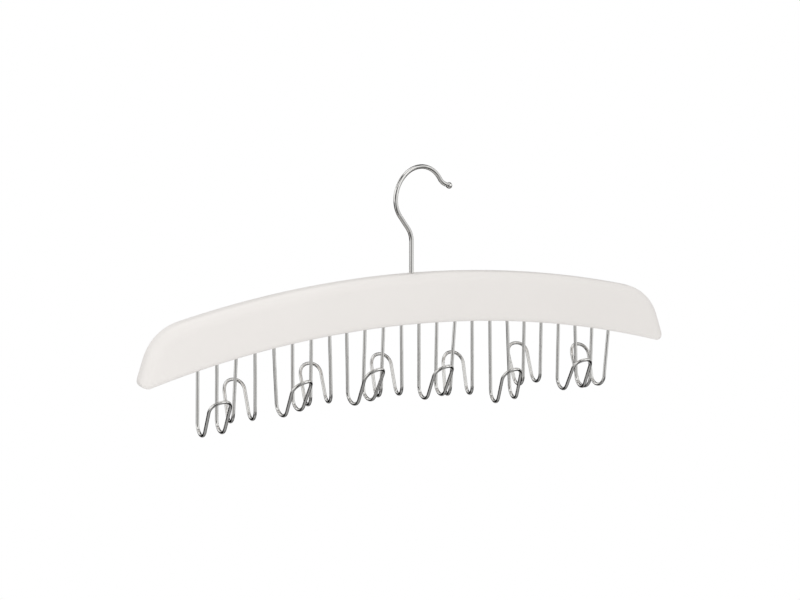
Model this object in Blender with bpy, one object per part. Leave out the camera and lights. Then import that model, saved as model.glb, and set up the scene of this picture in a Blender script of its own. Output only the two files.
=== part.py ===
"""Belt hanger: an arched wooden bar that turns below a steel hook, with bent wire belt hooks under it.

Lengths are in metres, +Z is up and the bar lies along X, with its front towards -Y. The origin is on the
axis that the bar turns about, at the inside of the hook's loop straight above the shank, where the
wardrobe rail bears when the bar hangs level.
"""

import math

import bpy
import bmesh

# The bar
BAR_LENGTH = 0.4426            # between the two end corners, before they are rounded
BAR_DEPTH = 0.038              # from the crown to the underside, at the middle
BAR_THICKNESS = 0.020
TOP_ARC_RADIUS = 0.782
UNDERSIDE_ARC_RADIUS = 0.757
END_LEAN_DEGREES = 18.4        # how far the slanted ends lean from upright
SHOULDER_RADIUS = 0.0384       # where the top turns down into the end
TIP_RADIUS = 0.0048            # the lowest corner of each end
CROWN_ROUNDING = 0.0075        # the router's round along the top and the ends
UNDERSIDE_ROUNDING = 0.0035    # the smaller round along the underside
HALF_LENGTH = BAR_LENGTH / 2
END_LEAN = math.radians(END_LEAN_DEGREES)
SHARPEST_CORNER = 0.0003       # a corner drawn in past its own radius keeps this one
LARGEST_ROUNDING = 0.95 * BAR_THICKNESS / 2    # the wood's thickness limits both rounds

# The swivel hook: one wire, drawn in its own plane from the shank's axis and the bar's crown
SWIVEL_WIRE = 0.0034           # diameter
LOOP_RADIUS = 0.0238           # to the middle of the wire
LOOP_CENTRE_HEIGHT = 0.0568    # above the bar's crown
LOOP_OFFSET = 0.0082           # from the shank's axis to the loop's centre
WAIST_START = math.radians(12) # where the loop tightens into the waist, above its centre's level
WAIST_RADIUS = 0.0211          # the bend that leads in under the loop
NECK_LEAN = math.radians(37.8) # the sloping straight between the loop and the shank
NECK_RADIUS = 0.0167           # the bend from that straight into the shank
TIP_BEND_START = math.radians(32.5)    # where the loop ends, above its centre's level
TIP_BEND_RADIUS = 0.0115
TIP_BEND_TURN = math.radians(39.2)
BALL_RADIUS = 0.0025
BALL_NECK_RADIUS = 0.0013
BALL_NECK_LENGTH = 0.0012
HOOK_TURN = math.radians(15)   # the hook's plane, turned from the bar's

# The swivel inside the bar
CONTACT_GAP = 0.0003           # left between pieces that bear on each other
SWIVEL_GAP = 0.0003            # running gap round the shank
COUNTERBORE_DEPTH = 0.008
COUNTERBORE_GAP = 0.0005       # round the washer
WASHER_RADIUS = 0.0037
WASHER_THICKNESS = 0.001
HEAD_RADIUS = 0.0029
HEAD_HEIGHT = 0.0016
HEAD_EDGE = 0.0003             # small chamfer on the head

# The belt hooks
BELT_WIRE = 0.0025             # diameter
WIRE_PITCH = 0.015             # from one drilled hole to the next
LEGS_PER_HOOK = 2
HOLE_DEPTH = 0.018
LEG_EXIT = 0.002               # how far a leg runs straight on below its hole
J_BEND_RADIUS = 0.0080         # to the middle of the wire
PRONG_LENGTH = 0.0180          # straight rising part, from the bend to the arch
ARCH_WIDTH = 0.0155            # between the two prongs, where the arch begins
ARCH_HEIGHT = 0.0099           # measured along the wire's slope
ARCH_CURL = math.radians(25)   # how far the arch curls away from the bar

# Each hook is bent and pressed in by hand, so each stands a little differently. A row gives, in
# millimetres, its drop below the underside, how much higher its right bend hangs than its left one, how
# far its holes are off their even pitch, how far it swings sideways and how much wider its bends stand
# than its holes. Then, in degrees, come its turn about the upright, the lean of its prongs and how far
# each prong turns outward from its leg. The rows run from the left end, front and back in turn.
HOOK_SETTINGS = (
    (49.9, 0.9, -0.4, -0.9, 0.1, 2, 27, 1),
    (52.1, 0.1, -0.2, -1.8, 2.7, 3, 31, -1),
    (51.1, 3.1, -0.2, 0.8, -2.2, 9, 29, 1),
    (53.5, 0.6, -0.1, 0.0, 2.0, 5, 32, 0),
    (54.3, 2.1, -1.1, -0.6, -2.3, 11, 26, 1),
    (56.2, -0.3, -0.8, -1.0, 2.8, 5, 28, -1),
    (56.9, 1.5, -1.0, -0.5, -0.8, 3, 29, 0),
    (59.8, -1.1, -0.7, -1.8, 4.3, 9, 25, -1),
    (61.9, 1.6, -0.4, 2.0, 1.7, -5, 27, -1),
    (50.7, 1.1, -0.5, -0.5, 0.1, 0, 28, 1),
    (49.5, 0.3, -0.2, 0.7, 2.3, -1, 31, -2),
    (47.1, 0.2, -0.1, -2.5, -2.6, -10, 22, 1),
)
HOOK_COUNT = len(HOOK_SETTINGS)
MILLIMETRE = 0.001

# How finely the curves are divided
TOP_STEPS = 12
SHOULDER_STEPS = 7
TIP_STEPS = 4
UNDERSIDE_STEPS = 12
ROUNDING_STEPS = 5
BEND_STEP = math.radians(7)
J_BEND_STEPS = 8
ARCH_STEPS = 8
BALL_STEPS = 6
BALL_END = math.radians(167)   # the ball's profile stops short of its pole, on a small flat
BORE_SIDES = 24
HOLE_SIDES = 12
SWIVEL_BEVEL_RESOLUTION = 3    # a round section of ten sides
BELT_BEVEL_RESOLUTION = 2      # a round section of eight sides
BEVEL_DEPTH = 0.001            # a wire's point radii are multiples of this
SHARP_ANGLE = math.radians(35) # steeper edges than this are shaded sharp
CUT_MARGIN = 0.004             # how far a cutter runs out past the wood

# Heights, from the values above. The loop's inside lies over the shank at the origin.
LOOP_INSIDE_RADIUS = LOOP_RADIUS - SWIVEL_WIRE / 2
RAIL_SEAT_RISE = math.sqrt(LOOP_INSIDE_RADIUS ** 2 - LOOP_OFFSET ** 2)
CROWN_Z = -(LOOP_CENTRE_HEIGHT + RAIL_SEAT_RISE)
TOP_ARC_CENTRE_Z = CROWN_Z - TOP_ARC_RADIUS
UNDERSIDE_ARC_CENTRE_Z = CROWN_Z - BAR_DEPTH - UNDERSIDE_ARC_RADIUS


def underside_z(x):
    """Height of the bar's underside at a place along it."""
    return UNDERSIDE_ARC_CENTRE_Z + math.sqrt(UNDERSIDE_ARC_RADIUS ** 2 - x ** 2)


def clear_scene():
    for thing in list(bpy.data.objects):
        bpy.data.objects.remove(thing, do_unlink=True)


def make_material(name, colour, roughness, metallic):
    material = bpy.data.materials.new(name)
    material.use_nodes = True
    shader = material.node_tree.nodes["Principled BSDF"]
    shader.inputs["Base Color"].default_value = (*colour, 1)
    shader.inputs["Roughness"].default_value = roughness
    shader.inputs["Metallic"].default_value = metallic
    return material


def add_mesh_object(name, bm, material):
    mesh = bpy.data.meshes.new(name)
    bmesh.ops.recalc_face_normals(bm, faces=bm.faces)
    bm.to_mesh(mesh)
    bm.free()
    mesh.shade_smooth()
    mesh.set_sharp_from_angle(angle=SHARP_ANGLE)
    mesh.materials.append(material)
    piece = bpy.data.objects.new(name, mesh)
    bpy.context.scene.collection.objects.link(piece)
    return piece


# The bar's outline

def arc_points(centre, radius, start, end, steps):
    """Points on a round stretch from one angle to another, with both ends."""
    angles = [start + (end - start) * i / steps for i in range(steps + 1)]
    return [(centre[0] + radius * math.cos(a), centre[1] + radius * math.sin(a)) for a in angles]


def corner_centre(inset, arc_centre_z, arc_distance):
    """A point at a distance inside the slanted end, and at a distance from one of the arcs' centres."""
    normal = (math.cos(END_LEAN), math.sin(END_LEAN))
    upward = (-math.sin(END_LEAN), math.cos(END_LEAN))
    start_x = HALF_LENGTH - normal[0] * inset
    start_z = underside_z(HALF_LENGTH) - normal[1] * inset
    from_centre_z = start_z - arc_centre_z
    along = start_x * upward[0] + from_centre_z * upward[1]
    beyond = start_x ** 2 + from_centre_z ** 2 - arc_distance ** 2
    travel = -along + math.sqrt(along ** 2 - beyond)
    return (start_x + upward[0] * travel, start_z + upward[1] * travel)


def bar_ring(edge_inset, base_inset):
    """The bar's outline in X and Z, drawn in by one amount at the top and ends and one at the underside."""
    top_radius = TOP_ARC_RADIUS - edge_inset
    base_radius = UNDERSIDE_ARC_RADIUS + base_inset
    shoulder = max(SHOULDER_RADIUS - edge_inset, SHARPEST_CORNER)
    tip = max(TIP_RADIUS - (edge_inset + base_inset) / 2, SHARPEST_CORNER)
    shoulder_centre = corner_centre(edge_inset + shoulder, TOP_ARC_CENTRE_Z, top_radius - shoulder)
    tip_centre = corner_centre(edge_inset + tip, UNDERSIDE_ARC_CENTRE_Z, base_radius + tip)
    top_end = math.atan2(shoulder_centre[1] - TOP_ARC_CENTRE_Z, shoulder_centre[0])
    base_start = math.atan2(tip_centre[1] - UNDERSIDE_ARC_CENTRE_Z, tip_centre[0])
    upright = math.pi / 2
    top = arc_points((0, TOP_ARC_CENTRE_Z), top_radius, upright, top_end, TOP_STEPS)
    shoulder_arc = arc_points(shoulder_centre, shoulder, top_end, END_LEAN, SHOULDER_STEPS)
    tip_arc = arc_points(tip_centre, tip, END_LEAN, base_start - math.pi, TIP_STEPS)
    base = arc_points((0, UNDERSIDE_ARC_CENTRE_Z), base_radius, base_start, upright, UNDERSIDE_STEPS)
    right_half = top[:-1] + shoulder_arc + tip_arc[:-1] + base
    left_half = [(-x, z) for x, z in reversed(right_half[1:-1])]
    return right_half + left_half


def rounding_inset(rounding, y):
    """How far a rounded edge draws the outline in, at a distance y from the middle plane."""
    radius = min(rounding, LARGEST_ROUNDING)
    into_round = min(max(y - (BAR_THICKNESS / 2 - radius), 0), radius)
    return radius - math.sqrt(radius ** 2 - into_round ** 2)


def bar_layers():
    """Distances from the middle plane at which the bar's outline is drawn, from back to front."""
    radius = min(CROWN_ROUNDING, LARGEST_ROUNDING)
    flat_half = BAR_THICKNESS / 2 - radius
    turns = [math.pi / 2 * i / ROUNDING_STEPS for i in range(ROUNDING_STEPS + 1)]
    half = [flat_half + radius * math.sin(turn) for turn in turns]
    return list(reversed(half)) + [-y for y in half]


def make_bar(material):
    bm = bmesh.new()
    rings = []
    for y in bar_layers():
        edge_inset = rounding_inset(CROWN_ROUNDING, abs(y))
        base_inset = rounding_inset(UNDERSIDE_ROUNDING, abs(y))
        rings.append([bm.verts.new((x, y, z)) for x, z in bar_ring(edge_inset, base_inset)])
    for ring, next_ring in zip(rings, rings[1:]):
        for i in range(len(ring)):
            j = (i + 1) % len(ring)
            bm.faces.new((ring[i], ring[j], next_ring[j], next_ring[i]))
    bm.faces.new(rings[0])
    bm.faces.new(rings[-1])
    return add_mesh_object("bar", bm, material)


# The holes in the bar

def add_turned(bm, x, profile, sides):
    """A closed turned shape about an upright axis at x. The profile is radius and height, bottom to top."""
    rings = []
    for radius, z in profile:
        ring = []
        for i in range(sides):
            angle = 2 * math.pi * (i + 0.5) / sides
            ring.append(bm.verts.new((x + radius * math.cos(angle), radius * math.sin(angle), z)))
        rings.append(ring)
    for ring, next_ring in zip(rings, rings[1:]):
        for i in range(sides):
            j = (i + 1) % sides
            bm.faces.new((ring[i], ring[j], next_ring[j], next_ring[i]))
    bm.faces.new(rings[0])
    bm.faces.new(rings[-1])


def clear_of(radius, gap, sides):
    """The corner radius of a many-sided hole whose flats stay a gap away from a round of this radius."""
    return (radius + gap) / math.cos(math.pi / sides)


def hook_middle(index):
    """Where the middle of a hook's two legs lies along the bar. The hooks are counted from its left end."""
    even_place = (index - (HOOK_COUNT - 1) / 2) * LEGS_PER_HOOK * WIRE_PITCH
    return even_place + HOOK_SETTINGS[index][2] * MILLIMETRE


def leg_places(index):
    middle = hook_middle(index)
    return middle - WIRE_PITCH / 2, middle + WIRE_PITCH / 2


def hole_top_z(index):
    """Both legs of a hook are level at the top, so both their holes end at one height."""
    return underside_z(hook_middle(index)) + HOLE_DEPTH


def drill_bar(bar):
    bm = bmesh.new()
    hole_radius = clear_of(BELT_WIRE / 2, CONTACT_GAP, HOLE_SIDES)
    for index in range(HOOK_COUNT):
        for x in leg_places(index):
            low = underside_z(x) - CUT_MARGIN
            add_turned(bm, x, [(hole_radius, low), (hole_radius, hole_top_z(index))], HOLE_SIDES)
    bore_radius = clear_of(SWIVEL_WIRE / 2, SWIVEL_GAP, BORE_SIDES)
    counterbore_radius = clear_of(WASHER_RADIUS, COUNTERBORE_GAP, BORE_SIDES)
    step_z = counterbore_top_z()
    profile = [(counterbore_radius, underside_z(0) - CUT_MARGIN), (counterbore_radius, step_z)]
    profile += [(bore_radius, step_z), (bore_radius, CROWN_Z + CUT_MARGIN)]
    add_turned(bm, 0, profile, BORE_SIDES)
    cutter = add_mesh_object("bar_holes", bm, bar.data.materials[0])
    cutter.hide_render = True
    cutter.display_type = "WIRE"
    cut = bar.modifiers.new("holes", "BOOLEAN")
    cut.operation = "DIFFERENCE"
    cut.solver = "EXACT"
    cut.object = cutter


# The swivel

def counterbore_top_z():
    return underside_z(0) + COUNTERBORE_DEPTH


def washer_bottom_z():
    return counterbore_top_z() - CONTACT_GAP - WASHER_THICKNESS


def head_top_z():
    return washer_bottom_z() - CONTACT_GAP


def make_washer(material):
    inner = clear_of(SWIVEL_WIRE / 2, SWIVEL_GAP, BORE_SIDES)
    low = washer_bottom_z()
    high = low + WASHER_THICKNESS
    profile = [(inner, low), (WASHER_RADIUS, low), (WASHER_RADIUS, high), (inner, high)]
    bm = bmesh.new()
    rings = []
    for radius, z in profile:
        angles = [2 * math.pi * i / BORE_SIDES for i in range(BORE_SIDES)]
        rings.append([bm.verts.new((radius * math.cos(a), radius * math.sin(a), z)) for a in angles])
    for ring, next_ring in zip(rings, rings[1:] + rings[:1]):
        for i in range(BORE_SIDES):
            j = (i + 1) % BORE_SIDES
            bm.faces.new((ring[i], ring[j], next_ring[j], next_ring[i]))
    return add_mesh_object("hook_washer", bm, material)


def bend_steps(angle):
    return max(2, math.ceil(abs(angle) / BEND_STEP))


def swivel_outline():
    """The hook's middle line in its own plane, from the bar's crown to the ball, as (across, height)."""
    loop_centre = (LOOP_OFFSET, CROWN_Z + LOOP_CENTRE_HEIGHT)
    loop_end = math.pi - WAIST_START
    waist_turn = NECK_LEAN + WAIST_START
    waist_distance = LOOP_RADIUS - WAIST_RADIUS
    waist_centre = (loop_centre[0] + waist_distance * math.cos(loop_end),
                    loop_centre[1] + waist_distance * math.sin(loop_end))
    slope_end = math.pi + NECK_LEAN
    waist = arc_points(waist_centre, WAIST_RADIUS, slope_end, loop_end, bend_steps(waist_turn))
    neck_across = -NECK_RADIUS * (1 - math.cos(NECK_LEAN))
    slope_length = (neck_across - waist[0][0]) / math.sin(NECK_LEAN)
    neck_top = waist[0][1] - slope_length * math.cos(NECK_LEAN)
    neck_centre = (-NECK_RADIUS, neck_top - NECK_RADIUS * math.sin(NECK_LEAN))
    neck = arc_points(neck_centre, NECK_RADIUS, 0, NECK_LEAN, bend_steps(NECK_LEAN))
    loop_turn = loop_end - TIP_BEND_START
    loop = arc_points(loop_centre, LOOP_RADIUS, loop_end, TIP_BEND_START, bend_steps(loop_turn))
    tip_distance = LOOP_RADIUS + TIP_BEND_RADIUS
    tip_centre = (loop_centre[0] + tip_distance * math.cos(TIP_BEND_START),
                  loop_centre[1] + tip_distance * math.sin(TIP_BEND_START))
    tip_start = math.pi + TIP_BEND_START
    tip = arc_points(tip_centre, TIP_BEND_RADIUS, tip_start, tip_start + TIP_BEND_TURN,
                     bend_steps(TIP_BEND_TURN))
    return neck + waist + loop[1:] + tip[1:]


def ball_profile():
    """The ball on the hook's tip, as distance past the end of the wire and radius there."""
    ball_middle = BALL_NECK_LENGTH + math.sqrt(BALL_RADIUS ** 2 - BALL_NECK_RADIUS ** 2)
    start = math.asin(BALL_NECK_RADIUS / BALL_RADIUS)
    profile = []
    for i in range(BALL_STEPS + 1):
        angle = start + (BALL_END - start) * i / BALL_STEPS
        distance = ball_middle - BALL_RADIUS * math.cos(angle)
        profile.append((distance, BALL_RADIUS * math.sin(angle)))
    return profile


def make_swivel_hook(material):
    wire = SWIVEL_WIRE / 2
    top = head_top_z()
    head = [(top - HEAD_HEIGHT, HEAD_RADIUS - HEAD_EDGE), (top - HEAD_HEIGHT + HEAD_EDGE, HEAD_RADIUS),
            (top - HEAD_EDGE, HEAD_RADIUS), (top, wire), (top + HEAD_HEIGHT, wire)]
    line = [(0, z, radius) for z, radius in head]
    outline = swivel_outline()
    line += [(across, z, wire) for across, z in outline]
    (before_x, before_z), (end_x, end_z) = outline[-2:]
    length = math.hypot(end_x - before_x, end_z - before_z)
    ahead = ((end_x - before_x) / length, (end_z - before_z) / length)
    for distance, radius in ball_profile():
        line.append((end_x + ahead[0] * distance, end_z + ahead[1] * distance, radius))
    points = [(across * math.cos(HOOK_TURN), across * math.sin(HOOK_TURN), z) for across, z, _ in line]
    radii = [radius for _, _, radius in line]
    return add_wire("swivel_hook", points, radii, material, SWIVEL_BEVEL_RESOLUTION)


# Bent wires

def add_wire(name, points, radii, material, bevel_resolution):
    """A round wire along the points, as a curve with a bevel and a radius for each point."""
    curve = bpy.data.curves.new(name, "CURVE")
    curve.dimensions = "3D"
    curve.bevel_depth = BEVEL_DEPTH
    curve.bevel_resolution = bevel_resolution
    curve.use_fill_caps = True
    curve.resolution_u = 1
    spline = curve.splines.new("POLY")
    spline.points.add(len(points) - 1)
    for point, place, radius in zip(spline.points, points, radii):
        point.co = (*place, 1)
        point.radius = radius / BEVEL_DEPTH
    curve.materials.append(material)
    piece = bpy.data.objects.new(name, curve)
    bpy.context.scene.collection.objects.link(piece)
    return piece


def belt_hook_half(drop, lean):
    """One leg, bend, prong and half of the arch, as (along the bar, out from the bar, height).

    Height is measured from the underside of the bar at the middle of the hook.
    """
    leg_x = WIRE_PITCH / 2
    bend_z = J_BEND_RADIUS - drop
    half = [(leg_x, 0, HOLE_DEPTH - CONTACT_GAP), (leg_x, 0, -LEG_EXIT)]
    turn = math.pi - lean
    for i in range(J_BEND_STEPS + 1):
        angle = turn * i / J_BEND_STEPS
        out = J_BEND_RADIUS * (1 - math.cos(angle))
        half.append((leg_x, out, bend_z - J_BEND_RADIUS * math.sin(angle)))
    arch_out = half[-1][1] + PRONG_LENGTH * math.sin(lean)
    arch_z = half[-1][2] + PRONG_LENGTH * math.cos(lean)
    curl_radius = ARCH_HEIGHT / ARCH_CURL
    for i in range(ARCH_STEPS + 1):
        angle = math.pi / 2 * i / ARCH_STEPS
        slope = lean + ARCH_CURL * math.sin(angle)
        out = arch_out + curl_radius * (math.cos(lean) - math.cos(slope))
        z = arch_z + curl_radius * (math.sin(slope) - math.sin(lean))
        half.append((ARCH_WIDTH / 2 * math.cos(angle), out, z))
    return half


def make_belt_hook(index, material):
    drop, tilt, _, swing, flare = [value * MILLIMETRE for value in HOOK_SETTINGS[index][:5]]
    yaw, lean, splay = [math.radians(value) for value in HOOK_SETTINGS[index][5:]]
    is_front = index % 2 == 0
    outward = -1 if is_front else 1
    half = belt_hook_half(drop, lean)
    left_to_right = [(-x, out, z) for x, out, z in half] + half[-2::-1]
    middle = hook_middle(index)
    height = underside_z(middle)
    points = []
    for x, out, z in left_to_right:
        share = x / WIRE_PITCH
        turn = yaw + 2 * share * splay
        below = max(-z - LEG_EXIT, 0) / (drop - LEG_EXIT)
        along = middle + x + out * math.sin(turn) + (swing + share * flare) * below
        if z < -LEG_EXIT:
            z += tilt * share
        points.append((along, outward * out * math.cos(turn), height + z))
    side = "front" if is_front else "back"
    name = f"belt_hook_{side}_{index // 2 + 1}"
    return add_wire(name, points, [BELT_WIRE / 2] * len(points), material, BELT_BEVEL_RESOLUTION)


def main():
    clear_scene()
    lacquer = make_material("white_lacquer", (0.86, 0.83, 0.80), 0.35, 0)
    chrome = make_material("chrome_wire", (0.75, 0.75, 0.74), 0.12, 1)
    steel = make_material("plain_steel", (0.6, 0.6, 0.6), 0.35, 1)
    bar = make_bar(lacquer)
    drill_bar(bar)
    make_swivel_hook(chrome)
    make_washer(steel)
    for index in range(HOOK_COUNT):
        make_belt_hook(index, chrome)


main()
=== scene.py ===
# %% [markdown]
# # A belt hanger
#
# The object is an arched wooden bar in white satin lacquer. It turns below one chromed steel hook, and
# twelve bent wires hang from its underside, six towards the front and six towards the back. The plain
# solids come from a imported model, which also says what moves with what. This lesson dresses them: it
# makes a fine bar and fine round wires, gives them their finishes, and sets up the studio and the
# camera.

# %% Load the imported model
import math

import bmesh
import bpy
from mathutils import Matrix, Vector


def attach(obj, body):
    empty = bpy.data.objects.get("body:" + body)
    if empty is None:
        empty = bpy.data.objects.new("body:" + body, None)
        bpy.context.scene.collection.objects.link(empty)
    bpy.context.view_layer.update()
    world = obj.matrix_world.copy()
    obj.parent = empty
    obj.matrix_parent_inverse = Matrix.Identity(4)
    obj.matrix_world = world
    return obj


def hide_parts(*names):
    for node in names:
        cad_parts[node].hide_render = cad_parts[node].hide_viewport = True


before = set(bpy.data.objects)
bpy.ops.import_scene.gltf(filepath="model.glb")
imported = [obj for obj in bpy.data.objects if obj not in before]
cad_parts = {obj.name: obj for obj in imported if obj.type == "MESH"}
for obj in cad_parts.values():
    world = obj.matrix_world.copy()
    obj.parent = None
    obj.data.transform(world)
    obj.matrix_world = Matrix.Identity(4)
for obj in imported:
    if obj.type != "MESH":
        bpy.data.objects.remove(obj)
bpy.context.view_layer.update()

# %% [markdown]
# ## Small helpers for nodes
#
# A material is a network of nodes, and so are a node group and the world. These helpers add a node with
# its settings, join sockets and give a group its inputs, so that each network below reads as a short
# list of what it is made of.

# %% Helpers for nodes
def add_node(tree, kind, label="", **settings):
    node = tree.nodes.new(kind)
    node.label = label
    for name, value in settings.items():
        setattr(node, name, value)
    return node


def set_inputs(tree, node, values):
    """Sets sockets by name or number. A value that is a socket is linked instead."""
    for name, value in values.items():
        if isinstance(value, bpy.types.NodeSocket):
            tree.links.new(value, node.inputs[name])
        else:
            node.inputs[name].default_value = value
    return node


def add_group_inputs(tree, inputs):
    """Gives a group its named inputs, each with its kind and the value that it starts from."""
    for name, kind, value in inputs:
        tree.interface.new_socket(name, in_out="INPUT", socket_type=kind).default_value = value
    return add_node(tree, "NodeGroupInput")


print("helpers for nodes are ready")

# %% [markdown]
# A finish varies its colour and its roughness over the surface. Each variation is a mask from 0 to 1
# that drives a blend, and shallow relief is a bump, because it is too fine to be part of the mesh.

# %% Helpers for finishes
# A Mix node has a set of sockets under the same names for each kind of data, so these go by their place
MIX_NUMBERS = (2, 3)
MIX_COLOURS = (6, 7)
MIXED_COLOUR = 2


def start_material(name):
    """A new material, its node tree and its Principled shader."""
    material = bpy.data.materials.new(name)
    material.use_nodes = True
    tree = material.node_tree
    return material, tree, tree.nodes["Principled BSDF"]


def stretched(tree, label, place, factors):
    node = add_node(tree, "ShaderNodeVectorMath", label, operation="MULTIPLY")
    set_inputs(tree, node, {0: place, 1: factors})
    return node.outputs[0]


def add_noise(tree, label, place, scale, detail, **more):
    node = add_node(tree, "ShaderNodeTexNoise", label)
    set_inputs(tree, node, {"Vector": place, "Scale": scale, "Detail": detail, **more})
    return node.outputs["Fac"]


def varied_value(tree, mask, first, second):
    """A value that runs from the first to the second as the mask runs from 0 to 1."""
    node = add_node(tree, "ShaderNodeMapRange")
    set_inputs(tree, node, {"Value": mask, "To Min": first, "To Max": second})
    return node.outputs[0]


def varied_colour(tree, label, mask, first, second):
    """A colour that runs from the first to the second as the mask runs from 0 to 1."""
    node = add_node(tree, "ShaderNodeMix", label, data_type="RGBA")
    set_inputs(tree, node, {"Factor": mask, MIX_COLOURS[0]: first, MIX_COLOURS[1]: second})
    return node.outputs[MIXED_COLOUR]


def add_relief(tree, shader, height, strength, distance):
    bump = add_node(tree, "ShaderNodeBump", "relief")
    set_inputs(tree, bump, {"Strength": strength, "Distance": distance, "Height": height})
    tree.links.new(bump.outputs[0], shader.inputs["Normal"])


print("helpers for finishes are ready")

# %% [markdown]
# ## An effect that several finishes share
#
# Lacquer, chrome and bare steel all show faint rubbed streaks where they are handled or polished. The
# effect is one node group with a size, a stretch and a seed, and it puts out a mask from 0 to 1. Each
# finish places it with its own values, which is less work than building it three times, and keeps the
# three alike.

# %% Rubbed streaks, shared by the finishes
STREAKS_FROM, STREAKS_TO = 0.45, 0.75    # only the noise's peaks become streaks


def make_rub_group():
    tree = bpy.data.node_groups.new("Rubbed streaks", "ShaderNodeTree")
    given = add_group_inputs(tree, (("Size", "NodeSocketFloat", 200.0),
                                    ("Stretch", "NodeSocketVector", (1, 1, 1)),
                                    ("Seed", "NodeSocketFloat", 0.0),
                                    ("Amount", "NodeSocketFloat", 0.5)))
    tree.interface.new_socket("Mask", in_out="OUTPUT", socket_type="NodeSocketFloat")
    place = add_node(tree, "ShaderNodeTexCoord").outputs["Object"]
    noise = add_node(tree, "ShaderNodeTexNoise", "streaks", noise_dimensions="4D")
    set_inputs(tree, noise, {"Vector": stretched(tree, "stretch", place, given.outputs["Stretch"]),
                             "W": given.outputs["Seed"], "Scale": given.outputs["Size"],
                             "Detail": 4.0, "Roughness": 0.6})
    edge = add_node(tree, "ShaderNodeMapRange", "keep the peaks", interpolation_type="SMOOTHSTEP")
    set_inputs(tree, edge, {"Value": noise.outputs["Fac"], "From Min": STREAKS_FROM,
                            "From Max": STREAKS_TO})
    strength = add_node(tree, "ShaderNodeMath", "amount", operation="MULTIPLY")
    set_inputs(tree, strength, {0: edge.outputs[0], 1: given.outputs["Amount"]})
    result = add_node(tree, "NodeGroupOutput")
    tree.links.new(strength.outputs[0], result.inputs["Mask"])
    return tree


rub_group = make_rub_group()


def add_rubs(tree, size, stretch, seed, amount):
    node = add_node(tree, "ShaderNodeGroup", node_tree=rub_group)
    set_inputs(tree, node, {"Size": size, "Stretch": stretch, "Seed": seed, "Amount": amount})
    return node.outputs["Mask"]


print("made the group", rub_group.name)

# %% [markdown]
# ## White lacquer
#
# The bar is sprayed with a warm white lacquer and left satin. Up close such a coat isn't one flat
# colour: it clouds very slightly, the wood's grain shows through as shallow lines along the bar, the
# spray leaves a fine ripple, and handling polishes it in streaks. It could be wood below a clear coat,
# but the white hides the wood's colour and only its relief is left, so one coat with a little noise is
# nearer. Object coordinates keep the noise still on the wood when the bar turns.

# %% White lacquer
LACQUER_SHADE = (0.850, 0.820, 0.792, 1)
LACQUER_LIGHT = (0.872, 0.842, 0.815, 1)
GRAIN_STRETCH = (12, 260, 420)    # waves per metre along, through and down the bar
RIPPLE_SHARE = 0.35               # how deep the spray's ripple is beside the grain


def make_lacquer():
    material, tree, shader = start_material("White lacquer")
    place = add_node(tree, "ShaderNodeTexCoord").outputs["Object"]
    clouds = add_noise(tree, "clouding", place, scale=18.0, detail=3.0)
    grain = add_noise(tree, "grain", stretched(tree, "along the bar", place, GRAIN_STRETCH),
                      scale=1.0, detail=3.0, Distortion=0.4)
    ripple = add_noise(tree, "spray ripple", place, scale=450.0, detail=1.0)
    height = add_node(tree, "ShaderNodeMath", "grain and ripple", operation="MULTIPLY_ADD")
    set_inputs(tree, height, {0: ripple, 1: RIPPLE_SHARE, 2: grain})
    add_relief(tree, shader, height.outputs[0], strength=0.12, distance=0.0002)
    rubs = add_rubs(tree, size=30.0, stretch=(0.5, 1, 1), seed=2.0, amount=1.0)
    tone = varied_colour(tree, "tone", clouds, LACQUER_SHADE, LACQUER_LIGHT)
    set_inputs(tree, shader, {"Base Color": tone, "Roughness": varied_value(tree, rubs, 0.36, 0.28),
                              "IOR": 1.40, "Specular IOR Level": 0.25})
    return material


lacquer = make_lacquer()
print("made", lacquer.name)

# %% [markdown]
# ## Chromed wire
#
# The wires are bright chrome: nearly a mirror, slightly warm, with the fine lines that drawing the wire
# leaves under the plating. A perfect mirror would do at a glance, but its reflections would run down a
# wire without a break. Real plating copies every dent of the wire, so a shallow bump makes the mirror a
# little uneven, and that breaks the reflections into short dark and bright streaks.

# %% Chromed wire
CHROME_BRIGHT = (0.73, 0.722, 0.704, 1)
CHROME_TARNISHED = (0.64, 0.63, 0.61, 1)


def make_chrome():
    material, tree, shader = start_material("Chromed wire")
    place = add_node(tree, "ShaderNodeTexCoord").outputs["Object"]
    tarnish = add_rubs(tree, size=260.0, stretch=(1, 1, 1), seed=5.0, amount=0.5)
    rubs = add_rubs(tree, size=500.0, stretch=(1, 1, 0.4), seed=9.0, amount=1.0)
    dents = add_noise(tree, "dents", place, scale=320.0, detail=2.0)
    add_relief(tree, shader, dents, strength=0.10, distance=0.0003)
    tone = varied_colour(tree, "tarnish", tarnish, CHROME_BRIGHT, CHROME_TARNISHED)
    set_inputs(tree, shader, {"Metallic": 1.0, "Base Color": tone,
                              "Roughness": varied_value(tree, rubs, 0.02, 0.05)})
    return material


chrome = make_chrome()
print("made", chrome.name)

# %% [markdown]
# ## Plain steel
#
# The washer is plain zinced steel, duller and rougher than the chrome. The crystals of the zinc show as
# patches of two greys. A Voronoi texture could draw each crystal, but on so small a washer the shared
# streaks do for them too, unstretched.

# %% Plain steel
ZINC_BRIGHT = (0.58, 0.58, 0.57, 1)
ZINC_DULL = (0.45, 0.45, 0.45, 1)


def make_plain_steel():
    material, tree, shader = start_material("Plain steel")
    patches = add_rubs(tree, size=400.0, stretch=(1, 1, 1), seed=3.0, amount=1.0)
    rubs = add_rubs(tree, size=900.0, stretch=(1, 1, 1), seed=4.0, amount=1.0)
    tone = varied_colour(tree, "zinc", patches, ZINC_BRIGHT, ZINC_DULL)
    set_inputs(tree, shader, {"Metallic": 1.0, "Base Color": tone,
                              "Roughness": varied_value(tree, rubs, 0.3, 0.45)})
    return material


plain_steel = make_plain_steel()
print("made", plain_steel.name)

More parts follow.
